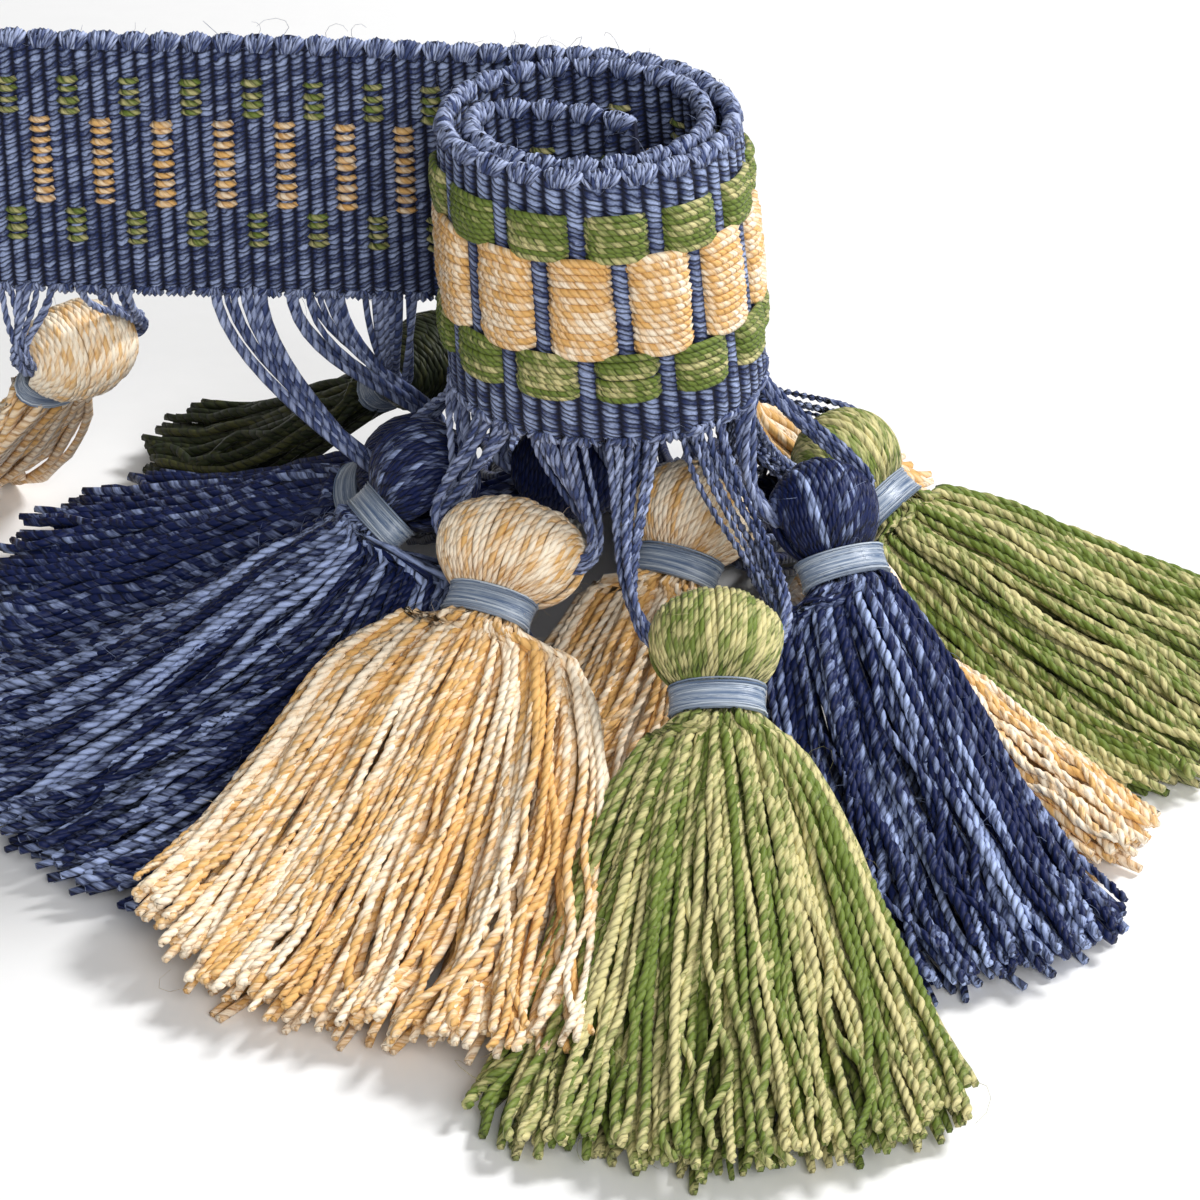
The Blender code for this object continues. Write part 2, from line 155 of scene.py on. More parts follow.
def make_piece(name, points, face_sets, uv_sets, dye, material, slot_name, stands_for=()):
    """One piece from arrays: points, sets of faces with as many corners each, their places on
    the yarn (round, along), and the dye's three numbers at each point."""
    mesh = bpy.data.meshes.new(name)
    corners = np.concatenate([faces.ravel() for faces in face_sets])
    sizes = np.concatenate([np.full(len(faces), faces.shape[1]) for faces in face_sets])
    mesh.vertices.add(len(points))
    mesh.loops.add(len(corners))
    mesh.polygons.add(len(sizes))
    mesh.vertices.foreach_set("co", ((points - PART_MIDDLE) * 0.001).astype(np.float32).ravel())
    mesh.loops.foreach_set("vertex_index", corners.astype(np.int32))
    starts = np.concatenate([[0], np.cumsum(sizes)[:-1]])
    mesh.polygons.foreach_set("loop_start", starts.astype(np.int32))
    mesh.update(calc_edges=True)
    layer = mesh.uv_layers.new(name="Lay")
    places = np.concatenate([uv.reshape(-1, 2) for uv in uv_sets])
    layer.uv.foreach_set("vector", places.astype(np.float32).ravel())
    colour = mesh.attributes.new("dye", "FLOAT_VECTOR", "POINT")
    colour.data.foreach_set("vector", dye.astype(np.float32).ravel())
    mesh.shade_smooth()
    mesh.materials.append(material)
    piece = placed(name, mesh)
    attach(piece, "root")
    if stands_for:
        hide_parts(*stands_for)
    return piece


class Strand:
    """A socket among a material's nodes. Sums and products of strands add Math nodes."""

    def __init__(self, tree, socket=None):
        self.tree = tree
        self.socket = socket

    def node(self, kind, settings=None, sockets=None, output=0):
        """Adds one node: its settings come first, then its sockets' values or links."""
        made = self.tree.nodes.new(kind)
        for name, value in (settings or {}).items():
            setattr(made, name, value)
        for name, value in (sockets or {}).items():
            if isinstance(value, Strand):
                self.tree.links.new(value.socket, made.inputs[name])
            else:
                made.inputs[name].default_value = value
        return Strand(self.tree, made.outputs[output])

    def sum_of(self, operation, *values):
        return self.node("ShaderNodeMath", {"operation": operation}, dict(enumerate(values)))

    def __add__(self, other):
        return self.sum_of("ADD", self, other)

    def __sub__(self, other):
        return self.sum_of("SUBTRACT", self, other)

    def __mul__(self, other):
        return self.sum_of("MULTIPLY", self, other)

    def __rsub__(self, other):
        return self.sum_of("SUBTRACT", other, self)

    def __pow__(self, other):
        return self.sum_of("POWER", self, other)

    def sine(self):
        return self.sum_of("SINE", self)

    def size(self):
        return self.sum_of("ABSOLUTE", self)

    def whole(self):
        return self.sum_of("FLOOR", self)

    def between(self, low, high):
        """0 below low and 1 above high, smoothly."""
        ends = {"Value": self, "From Min": low, "From Max": high}
        return self.node("ShaderNodeMapRange", {"interpolation_type": "SMOOTHSTEP"}, ends)

    def parts(self):
        split = self.node("ShaderNodeSeparateXYZ", None, {0: self})
        outputs = split.socket.node.outputs
        return [Strand(self.tree, outputs[k]) for k in range(3)]

    def joined(self, *parts):
        return self.node("ShaderNodeCombineXYZ", None, dict(enumerate(parts)))

    def blend(self, share, first, second):
        return self.node("ShaderNodeMix", {"data_type": "RGBA"}, {0: share, 6: first, 7: second}, 2)

    def mottle(self, place, detail, scale=1.0):
        return self.node("ShaderNodeTexNoise", None, {"Vector": place, "Scale": scale, "Detail": detail})

    def chance(self, place):
        return self.node("ShaderNodeTexWhiteNoise", None, {"Vector": place})

    def lay(self):
        """The place round a yarn or across the ribs, and the length along or up it."""
        return self.node("ShaderNodeUVMap", {"uv_map": "Lay"}).parts()

    def dye(self):
        """The three numbers of dye that each point carries."""
        return self.node("ShaderNodeAttribute", {"attribute_name": "dye"}, None, 1).parts()


def dyed(red, green, blue):
    """A dye read off as screen values from 0 to 255, as the light that it returns."""
    share = np.array([red, green, blue]) / 255.0
    light = np.where(share <= 0.04045, share / 12.92, ((share + 0.055) / 1.055) ** 2.4)
    return (*(float(value) for value in light), 1.0)


def new_cloth(name, roughness, sheen):
    """An empty cloth material: its tree's first strand and its shader's sockets."""
    material = bpy.data.materials.new(name)
    material.use_nodes = True
    shader = material.node_tree.nodes["Principled BSDF"]
    shader.inputs["Roughness"].default_value = roughness
    shader.inputs["Sheen Weight"].default_value = sheen
    shader.inputs["Sheen Roughness"].default_value = 0.35
    shader.inputs["Specular IOR Level"].default_value = 0.28
    return material, Strand(material.node_tree), shader


def dress(material, shader, colour, roughness, height, depth):
    """Links colour, roughness and a relief of that depth in metres to the shader."""
    links = material.node_tree.links
    links.new(colour.socket, shader.inputs["Base Color"])
    links.new(roughness.socket, shader.inputs["Roughness"])
    bump = height.node("ShaderNodeBump", None, {"Height": height, "Distance": depth, "Strength": 1.0})
    links.new(bump.socket, shader.inputs["Normal"])


WEAVE_CORD_PITCH = 0.56


def woven_cord():
    """Blue cord packed over ribs: at each pitch up the band one cord crosses the rib, rising as
    it goes, and each rib's cords are set off by chance from its neighbours'. Their relief is a
    half sine up the band. They are painted palest on the back of the rib and in a cord's middle
    as a painted highlight, and painted dark between the cords and in the valleys as painted shade."""
    material, start, shader = new_cloth("blue ribbed weave", 0.75, 0.06)
    ribs, up, _ = start.lay()
    across = ribs - ribs.whole()
    back = (across * math.pi).sine()
    uneven = start.mottle(start.joined(ribs * 1.3, up * 0.9, 0.0), 1.0)
    set_off = start.chance(start.joined(ribs.whole(), 7.0, 0.0))
    step = up * (1 / WEAVE_CORD_PITCH) - across * 1.1 + uneven * 1.4 + set_off
    cord = (step * math.pi).sine().size()
    which = start.chance(start.joined(step.whole(), ribs.whole(), 0.0))
    fibres = start.mottle(start.joined(ribs * 7.0, up * 6.0 - ribs * 3.0, 0.0), 4.0)
    patches = start.mottle(start.joined(ribs * 0.3, up * 0.18, 3.0), 1.0)
    # Painted highlight: the rib's back and each cord's middle are painted paler; which, fibres and
    # patches are chance tone
    light = back * 0.6 + cord * 0.2 + which * 0.45 + fibres * 0.8 + patches * 0.3 - 1.08
    body = start.blend(light.between(0.0, 0.9), dyed(34, 46, 88), dyed(164, 179, 216))
    # Painted shade: dark between the cords and in the valleys between the ribs
    dark = (1 - cord.between(0.0, 0.7)) * 0.7 + (1 - back.between(0.1, 0.75)) * 0.85
    colour = start.blend(dark.between(0.0, 1.1), body, dyed(13, 17, 38))
    height = cord**0.6 * (back**0.5) + fibres * 0.2
    dress(material, shader, colour, fibres * 0.2 + 0.6, height, 0.00026)
    return material


STEPS_PER_RIB = 6

band_ribs = np.arange(RIB_COUNT * STEPS_PER_RIB + 1) / STEPS_PER_RIB
band_shares = np.array([0.0, 0.02, 0.04, 0.07, 0.3, 0.5, 0.7, 0.93, 0.96, 0.98, 1.0])
# Round the section: up the face side, over the upper edge, down the reverse and back under
section_share = np.concatenate([band_shares, [1.012], band_shares[::-1], [-0.012]])
one_side = np.ones(len(band_shares))
section_side = np.concatenate([one_side, [0.0], -one_side, [0.0]])
edge_roundness = 1.0 - 0.35 * smooth_step(0.44, 0.5, np.abs(section_share - 0.5))
# The back of a rib is the square root of a half sine between two valleys, and a scallop is one
# half sine over two ribs
rib_back = RIB_RISE * np.sqrt(np.abs(np.sin(np.pi * band_ribs)))[:, None]
scallop = np.abs(np.sin(np.pi * band_ribs / 2))[:, None]
section_proud = (BAND_HALF_THICKNESS + rib_back) * section_side * edge_roundness
band_points = band_place(rib_run(band_ribs)[:, None], section_share, section_proud)
band_points[..., 2] += smooth_step(0.93, 1.0, section_share) * TOP_SCALLOP * scallop
band_points[..., 2] += smooth_step(0.07, 0.0, section_share) * BOTTOM_SCALLOP * (1 - scallop)


def wall_faces(index):
    """Four-cornered faces between neighbouring rows of point numbers, closed across."""
    after = np.roll(index, -1, axis=-1)
    corners = [index[..., :-1, :], after[..., :-1, :], after[..., 1:, :], index[..., 1:, :]]
    return np.stack(corners, axis=-1).reshape(-1, 4)


def wall_lay(lay):
    """The lay at those faces' corners. Its rows have one place more, where a turn is full."""
    corners = [lay[..., :-1, :-1, :], lay[..., :-1, 1:, :], lay[..., 1:, 1:, :], lay[..., 1:, :-1, :]]
    return np.stack(corners, axis=-2).reshape(-1, 4, 2)


rows, columns = band_points.shape[:2]
band_faces = wall_faces(np.arange(rows * columns).reshape(rows, columns))[:, ::-1]
lay_up = BAND_HEIGHT * np.append(section_share, section_share[0])
lay_grid = abreast(band_ribs[:, None], lay_up)
band_lay = wall_lay(lay_grid)[:, ::-1]
end_faces = np.stack([np.arange(columns), rows * columns - 1 - np.arange(columns)])
end_lay = np.stack([lay_grid[0, :-1], lay_grid[-1, :-1][::-1]])
weave = make_piece(
    "heading_weave",
    band_points.reshape(-1, 3),
    [band_faces, end_faces],
    [band_lay, end_lay],
    np.zeros((rows * columns, 3)),
    woven_cord(),
    "band_weave",
    ["band"],
)

# The scalloped edges: at each end of its way over the band the blue cord turns back over
# the edge. The turns of two neighbouring ribs fan out over the edge like a shell.


def tubes(paths, radii, sides, guide, ply_turn, phase, dye, lobes=0.0):
    """Yarns as tubes. Round each point of a path stands a ring: radius times (cos a times the
    across direction + sin a times the up direction). Across is the guide direction made square
    to the path. The lay's first number is the place round the yarn less its turns so far, so
    that a ply keeps one number along its whole length. Where lobes is above 0, the rings turn
    with the plies, and sink between the two of them by that share of the radius. The dye's
    three numbers are given for each point of a path, for each yarn or for them all."""
    count, steps = paths.shape[:2]
    along = unit(np.gradient(paths, axis=1))
    across = unit(guide - along * np.sum(along * guide, axis=2, keepdims=True))
    up = np.cross(along, across)
    run = run_of(paths)
    turns = run / ply_turn + phase[:, None]
    ring = np.arange(sides + 1) / sides
    angle = 2 * np.pi * (ring[None, None, :-1] + (turns[:, :, None] if lobes else 0.0))
    sunk = 1.0 - lobes * (1.0 - np.abs(np.sin(2 * np.pi * ring[:-1])))
    reach = radii[:, :, None] * sunk
    points = paths[:, :, None, :] + (reach * np.cos(angle))[..., None] * across[:, :, None, :]
    points = points + (reach * np.sin(angle))[..., None] * up[:, :, None, :]
    index = np.arange(count * steps * sides).reshape(count, steps, sides)
    ply = ring[None, None, :] - (0.0 if lobes else turns[:, :, None])
    lay = abreast(ply, run[:, :, None])
    caps = np.concatenate([index[:, 0, ::-1], index[:, -1]])
    cap_lay = np.concatenate([lay[:, 0, :-1][:, ::-1], lay[:, -1, :-1]])
    spread = np.repeat(abreast(*dye, run)[..., :3].reshape(-1, 3), sides, axis=0)
    return points.reshape(-1, 3), [wall_faces(index), caps], [wall_lay(lay), cap_lay], spread


def gathered(bundles):
    """Several bundles of tubes as one set of arrays, their faces counted on."""
    points, face_sets, lay_sets, dyes = zip(*bundles)
    shifts = np.cumsum([0] + [len(part) for part in points])
    faces = [faces + shift for sets, shift in zip(face_sets, shifts) for faces in sets]
    lays = [lay for sets in lay_sets for lay in sets]
    return np.concatenate(points), faces, lays, np.concatenate(dyes)


def plied_yarn(name, deep, middle, pale, relief, sheen, groove_shade=0.6):
    """Two-ply yarn. The plies are the two halves of sine of the place round the yarn, rounded
    by a power, and painted dark where they meet as painted shade in the groove. The dye's first
    number goes from middle to pale, its second is the yarn's own chance, and its third darkens
    the yarn towards deep: painted shade on a tassel's lower layers and by its neck, a fixed share
    on the floats and a chance share on the stitches. Fine fibres run along each ply."""
    material, start, shader = new_cloth(name, 0.6, sheen)
    around, along, _ = start.lay()
    tone, own, painted_shade = start.dye()
    wave = (around * (2 * math.pi)).sine()
    ply = wave.size()
    fibres = start.mottle(start.joined(around * 9.0, along * 0.7, own * 60.0), 4.0)
    slubs = start.mottle(start.joined(around * 1.2, along * 0.9, own * 90.0), 2.0)
    share = tone + wave.between(-0.3, 0.3) * 0.35 + fibres * 1.0 + slubs * 0.5 - 0.94
    body = start.blend(share.between(0.0, 1.0), middle, pale)
    # Painted shade: dark in the groove between the plies and by the dye's third number; the darkening
    # with the fibres is their own streaks
    dark = (1 - ply.between(0.0, 0.85)) * groove_shade + fibres.between(0.55, 0.3) * 0.35 + painted_shade
    colour = start.blend(dark.between(0.0, 1.2), body, deep)
    height = ply**0.7 + fibres * 0.3
    dress(material, shader, colour, fibres * 0.3 + 0.4, height, relief)
    return material


blue_cord = plied_yarn(
    "blue two-ply cord", dyed(12, 17, 44), dyed(58, 71, 114), dyed(172, 184, 218), 0.00016, 0.08
)

TOP_THREADS, BOTTOM_THREADS = 8, 5
TOP_TURN_HEIGHT, BOTTOM_TURN_HEIGHT = 0.62, 0.3
TURN_FEET_SHARE = 0.5
TURN_STEPS = 7
EDGE_CORD_RADIUS = 0.26
EDGE_CORD_TURN = 2.4
edge_chance = np.random.default_rng(11)


def edge_turns(top):
    """The turns over one edge: each comes up the reverse, bows out past the edge and goes down
    the face side. Over a scallop the feet of the turns are drawn together, by a share of the
    distance between their tops."""
    threads = TOP_THREADS if top else BOTTOM_THREADS
    fan = (np.arange(threads) + 0.5) / threads * 2 - 1
    middle = 2 * np.arange(RIB_COUNT // 2) + 1.0
    fan = np.tile(fan, len(middle)) + edge_chance.normal(0, 0.05, len(middle) * len(fan))
    middle = np.repeat(middle, threads)
    swing = np.linspace(-1.0, 1.0, TURN_STEPS)[None, :]
    over = np.cos(swing * np.pi / 2)
    ribs = middle[:, None] + fan[:, None] * (TURN_FEET_SHARE + (1 - TURN_FEET_SHARE) * over)
    ribs = np.clip(ribs, 0.05, RIB_COUNT - 0.05)
    height = TOP_TURN_HEIGHT if top else BOTTOM_TURN_HEIGHT
    height = height * np.sqrt(np.clip(1 - 0.97 * fan**2, 0.03, 1))[:, None]
    height = height * (1 + 0.1 * edge_chance.normal(size=height.shape))
    beyond = (height + 0.1) * over - 0.75 * (1 - over)
    proud = (BAND_HALF_THICKNESS + 0.32) * np.sin(swing * np.pi / 2)
    run = rib_run(ribs)
    paths = band_place(run, np.full_like(ribs, 1.0 if top else 0.0), proud)
    paths[..., 2] += beyond if top else -beyond
    count = len(fan)
    radii = EDGE_CORD_RADIUS * (1 + 0.15 * edge_chance.normal(size=(count, 1)))
    # Painted highlight: each turn is painted paler where it bows over the edge than at its feet
    tone = 0.28 + 0.4 * over + 0.22 * edge_chance.normal(size=(count, 1))
    dye = (tone, edge_chance.random((count, 1)), 0.0)
    guide = abreast(*at_run(run, edge_heading), 0.0)
    return tubes(paths, radii, 4, guide, EDGE_CORD_TURN, edge_chance.random(count), dye)


turns = gathered([edge_turns(True), edge_turns(False)])
edges = make_piece("heading_edge_turns", *turns, blue_cord, "band_weave")

# The float blocks: on the face side gold and green yarns float over three ribs and dive
# under the fourth, fourteen gold yarns to a block between two rows of eight green ones.

gold_yarn = plied_yarn(
    "gold two-ply yarn", dyed(162, 110, 52), dyed(228, 180, 110), dyed(254, 240, 216), 0.0001, 0.08, 0.3
)
green_yarn = plied_yarn(
    "green two-ply yarn", dyed(32, 38, 4), dyed(108, 126, 52), dyed(212, 202, 146), 0.0001, 0.08, 0.4
)

RIBS_PER_REPEAT = 4
OPEN_RIBS = 106
UPWARD = np.array([0.0, 0.0, 1.0])
FLOAT_STEPS = 9
FLOAT_HALF_RUN = 1.62
FLOAT_BULGE = 0.34
FLOAT_DIVE = 0.25
FLOAT_YARN_TURN = 1.5
float_chance = np.random.default_rng(23)


def yarn_places(first_rib, last_rib, count):
    """The middle rib of each block or column of a row, with count levels from 0 to 1 in each."""
    middles = np.arange(first_rib, last_rib, RIBS_PER_REPEAT)
    level = (np.arange(count) + 0.5) / count
    middle, level = np.meshgrid(middles, level, indexing="ij")
    return middle.reshape(-1, 1), level.reshape(-1, 1)


def float_rows(low_share, high_share, count, middle_rib, thickness):
    """Floats of one row of blocks. Along t from -1 to 1 a float stands proud of the ribs and dives
    between them with the fourth power of t. It stands prouder in the middle of its block's
    height, where the block bulges."""
    middle, level = yarn_places(middle_rib, OPEN_RIBS - 1, count)
    level = level * 2 - 1
    number = len(middle)
    t = np.linspace(-1.0, 1.0, FLOAT_STEPS)[None, :]
    half = FLOAT_HALF_RUN + 0.05 * float_chance.normal(size=(number, 1))
    ribs = middle + half * t
    bulge = 1 - 0.7 * level**2
    proud = BAND_HALF_THICKNESS + RIB_RISE + 0.2 + FLOAT_BULGE * bulge
    proud = proud + 0.035 * float_chance.normal(size=(number, 1))
    drop = np.abs(t) ** 4
    proud = proud * (1 - drop) + FLOAT_DIVE * drop
    share = (low_share + high_share) / 2 + (high_share - low_share) / 2 * level * (1 - 0.1 * t**2)
    share = share + 0.0015 * float_chance.normal(size=(number, 1))
    paths = band_place(rib_run(ribs), share, proud)
    radii = thickness / 2 * (1 - 0.2 * t**6) * (1 + 0.07 * float_chance.normal(size=(number, 1)))
    return paths, radii, number


def float_piece(name, rows_of_blocks, tone, material, slot_name):
    """One piece of several rows of blocks. A yarn's shade is the first number of tone, changed by
    a chance share of the second, and it sways by a sine along the yarn."""
    bundles = []
    for row in rows_of_blocks:
        paths, radii, number = float_rows(*row)
        own = float_chance.random((number, 1))
        shade = tone[0] + tone[1] * (float_chance.random((number, 1)) - 0.5)
        sway = 0.25 * np.sin(2 * np.pi * (own + np.linspace(0, 1, FLOAT_STEPS)[None, :]))
        dye = (shade + sway, own, 0.16)
        phase = float_chance.random(number)
        bundles.append(tubes(paths, radii, 5, UPWARD, FLOAT_YARN_TURN, phase, dye))
    return make_piece(name, *gathered(bundles), material, slot_name)


gold_floats = float_piece(
    "heading_gold_floats", [(0.335, 0.72, 14, 4.5, 0.88)], (0.4, 0.5), gold_yarn, "gold_yarn"
)
green_floats = float_piece(
    "heading_green_floats",
    [(0.7, 0.876, 8, 2.5, 0.74), (0.172, 0.352, 8, 2.5, 0.74)],
    (0.2, 0.9),
    green_yarn,
    "green_yarn",
)

# The reverse: where a gold or green yarn passes behind the one rib that it does not float
# over, it shows on the back as a column of short stitches, sunk between the blue ribs.

STITCH_STEPS = 5
STITCH_HALF_RUN = 0.6
STITCH_YARN_TURN = 1.6


def stitch_column(low_share, high_share, count, first_rib, thickness):
    """Columns of short stitches on the reverse, each stitch bowed as the rib under it is."""
    middle, level = yarn_places(first_rib, RIB_COUNT - 1, count)
    number = len(middle)
    t = np.linspace(-1.0, 1.0, STITCH_STEPS)[None, :]
    ribs = middle + STITCH_HALF_RUN * t
    share = low_share + (high_share - low_share) * level + 0.002 * t
    share = share + 0.003 * float_chance.normal(size=(number, 1))
    proud = -(BAND_HALF_THICKNESS + RIB_RISE * np.sqrt(np.cos(t * np.pi / 2).clip(0, 1)) + 0.12)
    paths = band_place(rib_run(ribs), share, proud)
    radii = thickness / 2 * (1 + 0.1 * float_chance.normal(size=(number, 1)))
    own = float_chance.random((number, 1))
    dye = (0.2 + 0.4 * own, own, 0.1 + 0.25 * own)
    return tubes(paths, radii, 4, UPWARD, STITCH_YARN_TURN, float_chance.random(number), dye)


gold_stitches = make_piece(
    "heading_gold_stitches", *stitch_column(0.35, 0.71, 9, 2.5, 0.72), gold_yarn, "gold_yarn"
)
two_rows = [stitch_column(0.71, 0.87, 4, 4.5, 0.72), stitch_column(0.2, 0.345, 4, 4.5, 0.72)]
green_stitches = make_piece("heading_green_stitches", *gathered(two_rows), green_yarn, "green_yarn")

# The tassels: a hank of two-ply yarn folded over a loop of blue cords, bound under the
# fold so that it makes a round head, and cut level at the end. The skirts fan out over
# the surface that the fringe stands on, and settle on it.

navy_yarn = plied_yarn(
    "navy two-ply yarn", dyed(2, 4, 15), dyed(14, 28, 74), dyed(174, 191, 234), 0.00012, 0.05
)
# Painted shade: a darker copy of the green yarn, for the tassel that lies in the shade of the tail
dark_green_yarn = plied_yarn(
    "shaded green two-ply yarn", dyed(7, 11, 4), dyed(32, 40, 18), dyed(66, 68, 34), 0.00012, 0.05
)

YARN_RADIUS = 0.48
YARN_SPACING = 0.8
YARN_TURN = 2.5
YARN_LOBES = 0.28
HEAD_YARN_RADIUS = 0.37
HEAD_YARN_TURN = 2.8
HEAD_HALF_WIDTH = 6.5
# The heads that are wider or narrower than that
HEAD_HALF_WIDTHS = {"front_gold": 7.8, "right_navy": 5.4}
HEAD_HALF_DEPTH = 5.2
# How far below its middle the ellipses of a head's outline would close, across it and through
# it, and the share of each yarn that lies over the crown
HEAD_CLOSES_ACROSS, HEAD_CLOSES_THROUGH = 5.9, 5.3
HEAD_CROWN = 0.45
ROOT_HALF_WIDTH = 4.6
ROOT_HALF_DEPTH = 2.3
ROOT_FROM_HEAD = 8.4
NECK_FROM_HEAD = 4.9
SKIRT_DEPTH = 7.4
EDGE_SHORTER = 0.1
# The ovals that the yarns pass on their way out of the binding: how far each lies below the
# head's middle, its half width and its half depth
NECK_OVALS = ((5.4, 3.0, 1.2), (6.8, 3.2, 1.35), (7.8, 3.9, 1.85))

# Head x, y, z, skirt end x, y, half width at the end, slope, and where it hangs along the band
TASSELS = {
    "front_green": (10.0, -27.0, 24.0, 10.9, -79.2, 23.5, 38, 115.3),
    "front_gold": (-9.0, -13.5, 26.0, -29.7, -56.8, 22.0, 38, 130.4),
    "left_navy": (-17.5, 0.5, 26.5, -61.0, -18.5, 25.0, 38, 145.5),
    "right_navy": (20.6, -7.0, 26.6, 38.2, -49.0, 13.5, 40, 100.2),
    "right_green": (24.0, 21.0, 17.0, 67.0, -5.6, 21.0, 34, 86.9),
    "inner_gold": (8.6, -3.5, 24.5, -6.0, -34.0, 9.5, 40, 234.4),
    "inner_navy": (-3.2, 5.5, 24.5, 1.0, 53.0, 20.0, 36, 162.5),
    "side_gold": (23.2, -0.2, 12.5, 50.0, -29.0, 5.5, 28, 177.7),
    "rear_gold": (7.0, 28.0, 24.0, 31.5, 45.0, 9.0, 40, 71.8),
    "tail_green": (-18.0, 33.0, 22.0, -47.0, 54.0, 9.0, 36, 58.6),
    "tail_navy": (-19.5, 14.0, 20.0, -62.0, 25.0, 18.0, 32, 43.5),
    "tail_gold": (-53.0, 23.0, 28.5, -74.0, 48.0, 9.0, 48, 22.7),
}
# Where a skirt laps over its neighbour or spreads under it, on its left and its right as it is
# seen from its end: how high that side is lifted, how much wider and longer it is, and the
# power of its opening, which is low where the side comes out of the binding as a bell does
PLAIN_SIDE = (0.0, 1.0, 0.0, 0.7)
LAPS = {
    "front_gold": ((4.4, 0.95, -0.02, 0.42), (4.2, 1.22, 0.2, 0.6)),
    "left_navy": (PLAIN_SIDE, (0.0, 1.35, 0.04, 0.3)),
    "front_green": ((-0.8, 1.0, 0.03, 0.7), (0.8, 1.0, 0.0, 0.7)),
    "right_navy": ((-0.8, 1.25, 0.04, 0.45), PLAIN_SIDE),
    "inner_gold": ((-1.0, 1.5, 0.0, 0.4), (-1.0, 1.1, 0.0, 0.5)),
    "tail_navy": ((1.0, 1.25, 0.0, 0.45), PLAIN_SIDE),
    "right_green": ((0.0, 1.0, 0.0, 0.5), (0.0, 1.0, 0.0, 0.5)),
    "inner_navy": ((0.0, 1.5, 0.0, 0.35), (0.0, 1.3, 0.0, 0.4)),
}
# Yarn, its slot, how pale it is on the whole, how much pale yarns differ from the others, how
# much each yarn changes along its length, and the share of pale yarns
DYES = {
    "navy": (navy_yarn, "navy_yarn", 0.24, 0.5, 0.7, 0.3),
    # Painted shade: a darker navy for the tassels that lie in shade
    "shaded_navy": (navy_yarn, "navy_yarn", 0.1, 0.35, 0.4, 0.3),
    "gold": (gold_yarn, "gold_yarn", 0.48, 0.35, 0.7, 0.5),
    "green": (green_yarn, "green_yarn", 0.43, 0.5, 0.8, 0.45),
    "dark_green": (dark_green_yarn, "dark_green_yarn", 0.3, 0.6, 0.2, 0.3),
}
# The tassels in the shade of the roll and the tail: their yarns are painted darker than their names say,
# as painted shade
DYED_APART = {"tail_green": "dark_green", "tail_navy": "shaded_navy", "inner_navy": "shaded_navy"}


class Tassel:
    """Directions of one tassel: out along the floor, side across it, down its own length and
    lift square to both, with the fan that its skirt makes on the floor."""

    def __init__(self, row, laps, head_half_width):
        x, y, z, end_x, end_y, self.end_half_width, degrees, self.hung_at = row
        self.laps = laps
        self.head_half_width = head_half_width
        self.head = np.array([x, y, z])
        slope = math.radians(degrees)
        level = np.array([end_x - x, end_y - y, 0.0])
        self.out = unit(level)
        self.side = np.array([-self.out[1], self.out[0], 0.0])
        self.down = self.out * math.cos(slope) - np.array([0.0, 0.0, math.sin(slope)])
        self.lift = np.cross(self.down, self.side)
        self.root = self.head + self.down * ROOT_FROM_HEAD
        self.run = np.linalg.norm(level) - ROOT_FROM_HEAD * math.cos(slope)
        self.root_bottom = self.root[2] - ROOT_HALF_DEPTH / math.cos(slope)

    def about_head(self, down, side, lift):
        """Points at these distances from the head's middle, along the tassel's directions."""
        place = self.head + down[..., None] * self.down + side[..., None] * self.side
        return place + lift[..., None] * self.lift

    def half_width(self, share, opening=0.7):
        """Half the fan's width: it opens with a power of the share of its run."""
        opened = np.minimum(share, 1.0) ** opening
        return ROOT_HALF_WIDTH + (self.end_half_width - ROOT_HALF_WIDTH) * opened

    def skirt(self, share, across, height):
        """A point of the fan: across from -1 to 1 turns it about a centre behind the root, and
        height from 0 to 1 lifts it off a lower side that sinks to the floor with the power 1.5.
        Each side is then lifted, widened and made longer by the numbers of its lap."""
        left_part = smooth_step(0.2, -0.2, across)
        lifted, wider, longer, opening = (
            left * left_part + right * (1 - left_part) for left, right in zip(*self.laps)
        )
        side_part = smooth_step(0.3, 1.0, np.abs(across))
        reach = self.run * share * (1 + longer * side_part)
        back = self.run * ROOT_HALF_WIDTH / (self.end_half_width - ROOT_HALF_WIDTH)
        opened = (self.half_width(share, opening) / (back + self.run * share)).clip(0.0, 0.95)
        angle = across * np.arcsin(opened) * (1 + (wider - 1) * np.abs(across))
        bottom = self.root_bottom * (1 - np.minimum(share / 0.8, 1.0)) ** 1.5
        depth = SKIRT_DEPTH * (0.7 + 0.3 * np.minimum(share * 4, 1.0)) * (1 - 0.36 * across**2)
        depth = depth * (1 - 0.35 * smooth_step(0.65, 1.05, share))
        lap = lifted * side_part * smooth_step(0.0, 0.35, share)
        depth = depth * (1 + 0.12 * np.minimum(lap, 0.0))
        middle = self.root - self.out * back
        swung = self.out * np.cos(angle)[..., None] + self.side * np.sin(angle)[..., None]
        place = middle + (back + reach * (1 - EDGE_SHORTER * across**2))[..., None] * swung
        place[..., 2] = bottom + YARN_RADIUS + (depth - 2 * YARN_RADIUS) * height + np.maximum(lap, 0.0)
        return place


def halved_order(count):
    """Numbers from 0 to 1 whose smallest few always lie evenly spread: the counting number
    written in twos and read backwards behind the point."""
    order = np.zeros(count)
    number = np.arange(count) + 1
    weight = 0.5
    while number.any():
        order += weight * (number % 2)
        number = number // 2
        weight /= 2
    return order


def soft_waves(chance, across, along, count, across_rate, along_rate):
    """A gentle uneven field: the mean of several sines with chance directions."""
    field = 0.0
    for _ in range(count):
        rate_a = chance.uniform(0.4, 1.0) * across_rate
        rate_b = chance.uniform(-1.0, 1.0) * along_rate
        field = field + np.sin(2 * np.pi * (rate_a * across + rate_b * along + chance.random()))
    return field / count


